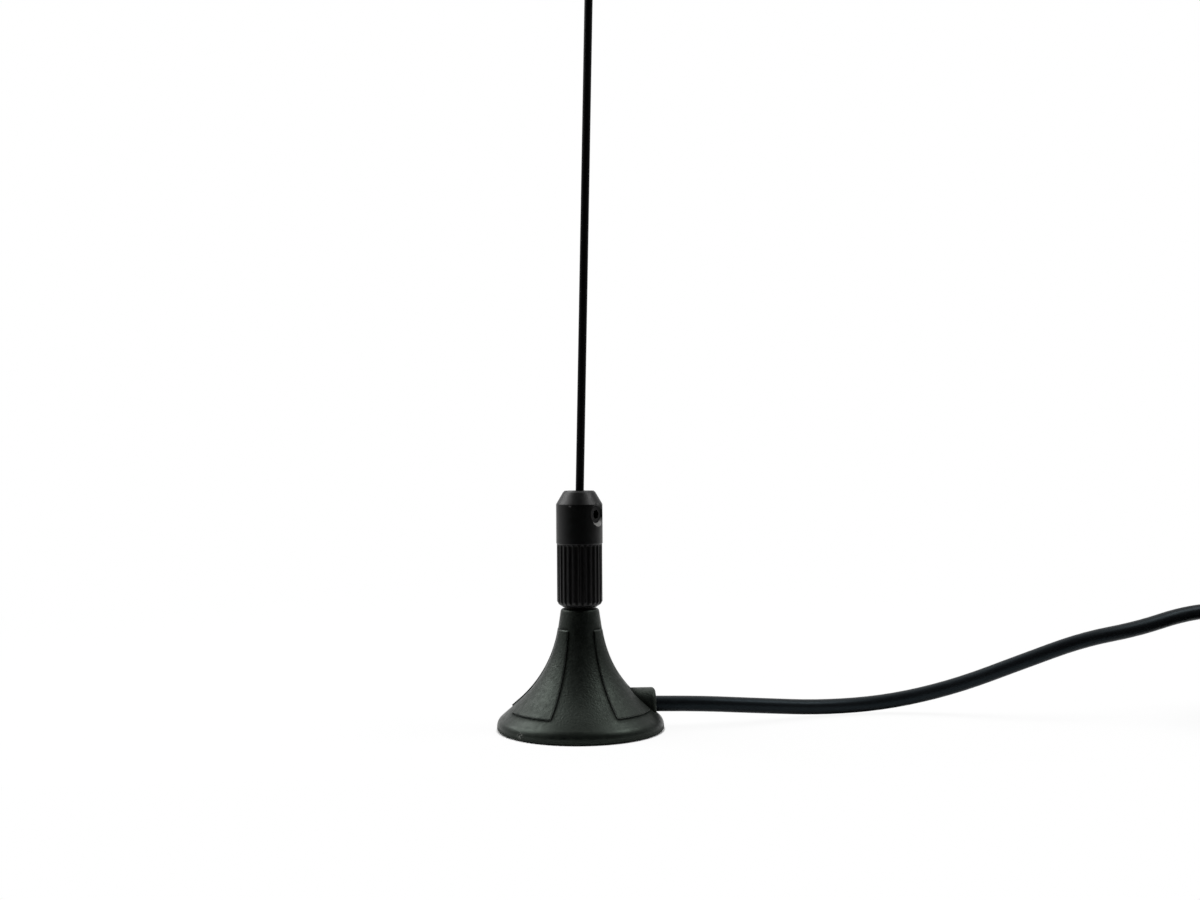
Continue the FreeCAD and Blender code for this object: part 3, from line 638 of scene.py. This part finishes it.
plastic, tree, shader = fresh("foot_plastic")
near_edge, rounded = edges(tree, PANEL_EDGE)
# Upper edges of steps, which get a painted highlight in the colour.
painted_ledge_highlight = turned_up(tree, rounded)
# Creases beside the steps: painted shade in the colour, and dull in the roughness.
crease_painted_shade_and_dullness = product(tree, creases(tree, CREASE_REACH), stretched(tree, painted_ledge_highlight, 1.0, 0.0, 0.0, 1.0))
lip = below(tree, *LIP_HEIGHTS)
worn = product(tree, near_edge, stretched(tree, noise(tree, 1.6), 0.0, 1.0))
patchy = stretched(tree, noise(tree, 0.3), 0.0, 1.0, 0.5, 0.6)
scuff = product(tree, spot(tree, SCUFF_PLACE, SCUFF_RADIUS), patchy)
print("masks of the foot:", len(tree.nodes), "nodes")

# %% Foot plastic: tone, roughness and grain
GRAIN_SIZE = 0.36
GRAIN_DEPTH = 0.07

tone = mixed_colour(tree, noise(tree, 2.5), (0.0034, 0.0041, 0.0036), (0.006, 0.0068, 0.0062))
tone = mixed_colour(tree, worn, tone, (0.055, 0.058, 0.056))
# Painted highlight: the upper edges of the steps are lighter, where a light from above catches them.
tone = mixed_colour(tree, painted_ledge_highlight, tone, (0.07, 0.075, 0.072))
# Painted shade: the creases beside the panels are darkened, found by ambient occlusion.
tone = mixed_colour(tree, crease_painted_shade_and_dullness, tone, (0.0015, 0.0018, 0.0015))
tone = mixed_colour(tree, scuff, tone, (0.2, 0.2, 0.19))
tree.links.new(tone, shader.inputs["Base Color"])
dull = stretched(tree, noise(tree, 0.9), 0.37, 0.54)
dull = math_node(tree, "SUBTRACT", dull, stretched(tree, lip, 0.0, 0.06, 0.0, 1.0))
dull = math_node(tree, "MAXIMUM", dull, crease_painted_shade_and_dullness)
lowest = stretched(tree, below(tree, *LOWEST_HEIGHTS), 0.3, 0.7, 0.0, 1.0)
dull = math_node(tree, "MAXIMUM", dull, lowest)
tree.links.new(dull, shader.inputs["Roughness"])
grain = product(tree, noise(tree, GRAIN_SIZE), stretched(tree, lip, 1.0, 0.2, 0.0, 1.0))
tree.links.new(bumped(tree, grain, GRAIN_DEPTH, rounded), shader.inputs["Normal"])
shader.inputs["Specular IOR Level"].default_value = 0.36
shader.inputs["Specular Tint"].default_value = (0.81, 1.0, 0.84, 1)
dress(plastic, "base_housing")

# %% [markdown]
# ## Collar and rod
# The collar is turned metal with a satin black coating. The lathe leaves fine rings under it, so
# its bump is noise that changes quickly along Z and hardly at all sideways. The rod has a harder,
# glossier coat with faint streaks along its length, made by the same trick the other way round. The
# coating is gone in the screw's mouth, and the light grey of the bare metal is put only where the
# surface faces up, as a painted highlight of the light from above.

# %% Where a surface faces up


def facing_up(tree):
    """0 on upright surfaces, rising to 1 on those that lean well back."""
    true = tree.nodes.new("ShaderNodeNewGeometry")
    split = tree.nodes.new("ShaderNodeSeparateXYZ")
    tree.links.new(true.outputs["Normal"], split.inputs["Vector"])
    return stretched(tree, split.outputs["Z"], 0.0, 1.0, 0.1, 0.5)


# %% Collar coating
SCREW_MOUTH = (3.07, -2.4, 37.5)
NICK_PLACE = (-1.85, -3.75, 40.1)
NICK_RADIUS = 0.35
COLLAR_EDGE = 0.1

coating, tree, shader = fresh("collar_coating")
near_edge, rounded = edges(tree, COLLAR_EDGE)
worn = product(tree, near_edge, stretched(tree, noise(tree, 0.8), 0.0, 1.0))
away = stretched(tree, spot(tree, SCREW_MOUTH, 3.4, 3.2), 1.0, 0.0, 0.0, 1.0)
worn = product(tree, worn, away)
tone = mixed_colour(tree, noise(tree, 1.5), (0.0035, 0.0036, 0.0038), (0.007, 0.0072, 0.0074))
tone = mixed_colour(tree, worn, tone, (0.04, 0.041, 0.042))
patchy = stretched(tree, noise(tree, 0.12), 0.0, 1.0, 0.5, 0.55)
nick = product(tree, spot(tree, NICK_PLACE, NICK_RADIUS), patchy)
tone = mixed_colour(tree, nick, tone, (0.25, 0.25, 0.25))
# Bare metal in the screw's mouth, lighter only where it faces up: partly bare metal, partly a painted
# highlight.
bare_metal_painted_highlight = product(tree, spot(tree, SCREW_MOUTH, 1.9, 1.6), facing_up(tree))
tone = mixed_colour(tree, bare_metal_painted_highlight, tone, (0.3, 0.3, 0.29))
tree.links.new(tone, shader.inputs["Base Color"])
tree.links.new(stretched(tree, noise(tree, 0.6), 0.36, 0.46), shader.inputs["Roughness"])
rings = noise(tree, 0.09, 2.0, (0.03, 0.03, 1.0))
tree.links.new(bumped(tree, rings, 0.006, rounded), shader.inputs["Normal"])
shader.inputs["Specular IOR Level"].default_value = 0.34
dress(coating, "whip_collar")

# %% Rod coating
gloss, tree, shader = fresh("rod_coating")
streaks = noise(tree, 0.25, 2.0, (1.0, 1.0, 0.01))
tone = mixed_colour(tree, streaks, (0.006, 0.006, 0.0063), (0.014, 0.014, 0.0145))
tree.links.new(tone, shader.inputs["Base Color"])
tree.links.new(stretched(tree, noise(tree, 2.0), 0.26, 0.36), shader.inputs["Roughness"])
tree.links.new(bumped(tree, streaks, 0.004), shader.inputs["Normal"])
shader.inputs["Specular IOR Level"].default_value = 0.06
dress(gloss, "whip_rod")

# %% [markdown]
# ## Cable jacket
# The jacket is flexible PVC: black with a cool sheen, smooth from the extruder but never quite
# even. Noise in the roughness and a finer, shallow bump keep its highlight from looking like a
# glass rod's.

# %% Jacket
jacket, tree, shader = fresh("cable_jacket")
tone = mixed_colour(tree, noise(tree, 3.0), (0.0045, 0.005, 0.006), (0.0085, 0.0092, 0.0105))
tree.links.new(tone, shader.inputs["Base Color"])
tree.links.new(stretched(tree, noise(tree, 1.2), 0.36, 0.46), shader.inputs["Roughness"])
tree.links.new(bumped(tree, noise(tree, 0.5), 0.01), shader.inputs["Normal"])
shader.inputs["Specular IOR Level"].default_value = 0.15
shader.inputs["Specular Tint"].default_value = (0.55, 0.82, 0.96, 1)
cable.data.materials.append(jacket)
print(jacket.name, "on", cable.name)

# %% [markdown]
# ## Tape, rubber and other soft finishes
# The tape is a felt of tiny loops, so it has a deep fine bump and some sheen. The pad, the shrunk
# sleeve and the gasket are rubbers that differ in colour and in how matt they are, and the core of
# the cable is waxy white plastic. One function makes them all, because they are the same finish
# with other numbers.

# %% Soft finishes


def soft_finish(name, dark, light, blotch, matt, grain, depth, sheen=0.0):
    """Rubber or felt: two tones, a roughness range and a grain of a size and depth in millimetres."""
    material, tree, shader = fresh(name)
    tree.links.new(mixed_colour(tree, noise(tree, blotch), dark, light), shader.inputs["Base Color"])
    tree.links.new(stretched(tree, noise(tree, blotch), *matt), shader.inputs["Roughness"])
    tree.links.new(bumped(tree, noise(tree, grain, 4.0), depth), shader.inputs["Normal"])
    shader.inputs["Sheen Weight"].default_value = sheen
    return material


felt = soft_finish("tape_felt", (0.008, 0.008, 0.009), (0.022, 0.022, 0.024), 0.5, (0.8, 0.95),
                   0.25, 0.12, 0.3)
for piece in bands:
    piece.data.materials.append(felt)
print(felt.name, "on", ", ".join(piece.name for piece in bands))
dress(soft_finish("pad_rubber", (0.008, 0.008, 0.008), (0.016, 0.016, 0.016), 1.0, (0.7, 0.85), 0.2, 0.02),
      "foot_pad")
dress(soft_finish("shrunk_sleeve", (0.006, 0.006, 0.007), (0.012, 0.012, 0.013), 1.5, (0.4, 0.55), 0.8, 0.03),
      "plug_boot")
dress(soft_finish("gasket_rubber", (0.3, 0.03, 0.02), (0.4, 0.05, 0.03), 0.8, (0.55, 0.7), 0.2, 0.01),
      "plug_gasket")
dress(soft_finish("white_dielectric", (0.7, 0.7, 0.67), (0.8, 0.8, 0.78), 0.8, (0.35, 0.5), 0.3, 0.005),
      "cable_core", "plug_insulator", "plug_core")

# %% [markdown]
# ## Bare and plated metal
# The screw is blackened steel, the plug's nut and ferrule are nickel plated, its contacts are
# gold plated, and inside the foot there are brass, copper, solder and steel. All are metallic
# shaders whose roughness and tone change a little with noise. Turned pieces get fine rings along
# their axis.

# %% Metal finishes
METAL_EDGE = 0.06
MARK_SIZE = 0.08


def metal_finish(name, dark, light, blotch, matt, lines, depth):
    """Metal with two tones, a roughness range and tool marks drawn out across one axis."""
    material, tree, shader = fresh(name)
    near_edge, rounded = edges(tree, METAL_EDGE)
    tone = mixed_colour(tree, noise(tree, blotch), dark, light)
    tree.links.new(mixed_colour(tree, product(tree, near_edge, noise(tree, blotch)), tone, light),
                   shader.inputs["Base Color"])
    tree.links.new(stretched(tree, noise(tree, blotch), *matt), shader.inputs["Roughness"])
    marks = noise(tree, MARK_SIZE, 2.0, lines)
    tree.links.new(bumped(tree, marks, depth, rounded), shader.inputs["Normal"])
    shader.inputs["Metallic"].default_value = 1.0
    return material


# %% Metal on its pieces
ALONG_Y = (0.05, 1.0, 0.05)
ALONG_Z = (0.05, 0.05, 1.0)
EVEN = (1.0, 1.0, 1.0)

dress(metal_finish("black_screw", (0.006, 0.006, 0.006), (0.02, 0.02, 0.021), 0.5, (0.35, 0.5), EVEN, 0.003),
      "grub_screw")
dress(metal_finish("nickel_plate", (0.5, 0.48, 0.44), (0.62, 0.6, 0.56), 1.2, (0.2, 0.3), ALONG_Y, 0.002),
      "plug_nut", "plug_ferrule")
dress(metal_finish("gold_plate", (0.78, 0.5, 0.16), (0.88, 0.62, 0.24), 1.0, (0.16, 0.26), ALONG_Y, 0.002),
      "plug_body", "plug_pin")
dress(metal_finish("blackened_brass", (0.012, 0.011, 0.01), (0.03, 0.027, 0.024), 1.0, (0.4, 0.55),
                   ALONG_Z, 0.003), "threaded_stud")
dress(metal_finish("bare_copper", (0.6, 0.26, 0.14), (0.74, 0.38, 0.24), 0.6, (0.25, 0.4), EVEN, 0.003),
      "centre_wire", "braid_tail")
dress(metal_finish("bright_solder", (0.5, 0.5, 0.5), (0.68, 0.68, 0.67), 0.6, (0.15, 0.35), EVEN, 0.006),
      "solder_joints")
dress(metal_finish("magnet_plate", (0.5, 0.49, 0.46), (0.6, 0.59, 0.56), 2.0, (0.25, 0.35), EVEN, 0.002),
      "magnet")
dress(metal_finish("zinc_plate", (0.48, 0.49, 0.5), (0.6, 0.61, 0.62), 1.5, (0.28, 0.42), EVEN, 0.002),
      "yoke_plate", "cable_clamp", "plug_snap_ring")

# %% [markdown]
# ## Last lines
# The view transform is set to Standard, so that a colour comes out as written.

# %% View transform
bpy.context.scene.view_settings.view_transform = "Standard"
